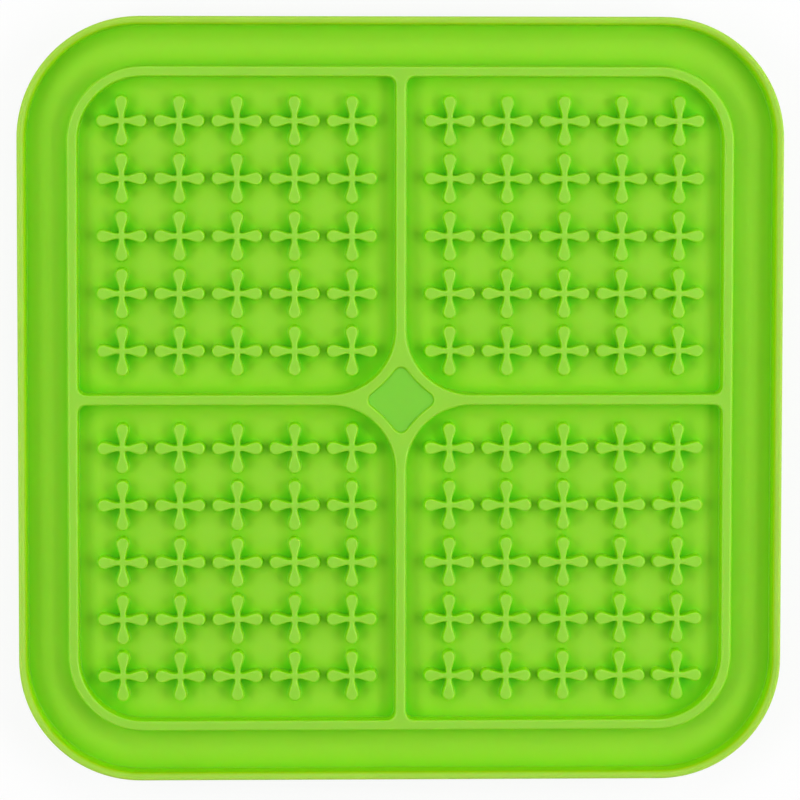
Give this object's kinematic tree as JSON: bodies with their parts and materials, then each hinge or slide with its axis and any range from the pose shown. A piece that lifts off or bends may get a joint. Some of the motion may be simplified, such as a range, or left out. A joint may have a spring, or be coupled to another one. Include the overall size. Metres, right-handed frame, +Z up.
{
  "type": "lick mat",
  "caption": "Square soft rubber lick mat with a raised rim, a spill gutter, walled pockets of small crosses and suction cups underneath.",
  "frame": {"origin": "middle of the plane that the suction cups stand on, under the middle of the mat", "axes": "+Z up, out of the licking side; +Y to the rear side of the mat, +X to its right"},
  "size_m": [0.2, 0.2, 0.014],
  "materials": {
    "mat_rubber": "satin"
  },
  "bodies": {
    "suction_cups": {"suction_cup_1": "mat_rubber", "suction_cup_2": "mat_rubber", "suction_cup_3": "mat_rubber", "suction_cup_4": "mat_rubber", "suction_cup_5": "mat_rubber", "suction_cup_6": "mat_rubber", "suction_cup_7": "mat_rubber", "suction_cup_8": "mat_rubber", "suction_cup_9": "mat_rubber", "suction_cup_10": "mat_rubber", "suction_cup_11": "mat_rubber", "suction_cup_12": "mat_rubber", "suction_cup_13": "mat_rubber", "suction_cup_14": "mat_rubber", "suction_cup_15": "mat_rubber", "suction_cup_16": "mat_rubber"},
    "mat": {"floor_sheet": "mat_rubber", "rim": "mat_rubber", "pocket_frame": "mat_rubber", "divider_left": "mat_rubber", "divider_right": "mat_rubber", "divider_rear": "mat_rubber", "divider_front": "mat_rubber", "centre_hub": "mat_rubber", "crosses_rear_left": "mat_rubber", "crosses_rear_right": "mat_rubber", "crosses_front_left": "mat_rubber", "crosses_front_right": "mat_rubber"}
  },
  "joints": [
    {"name": "press_on", "type": "slide", "parent": "suction_cups", "child": "mat", "axis": [0, 0, -1], "range_m": [0, 0.0015], "stiffness_N_per_m": 5000, "springref_m": -0.001, "deforming": ["suction_cup_1", "suction_cup_2", "suction_cup_3", "suction_cup_4", "suction_cup_5", "suction_cup_6", "suction_cup_7", "suction_cup_8", "suction_cup_9", "suction_cup_10", "suction_cup_11", "suction_cup_12", "suction_cup_13", "suction_cup_14", "suction_cup_15", "suction_cup_16"]}
  ]
}
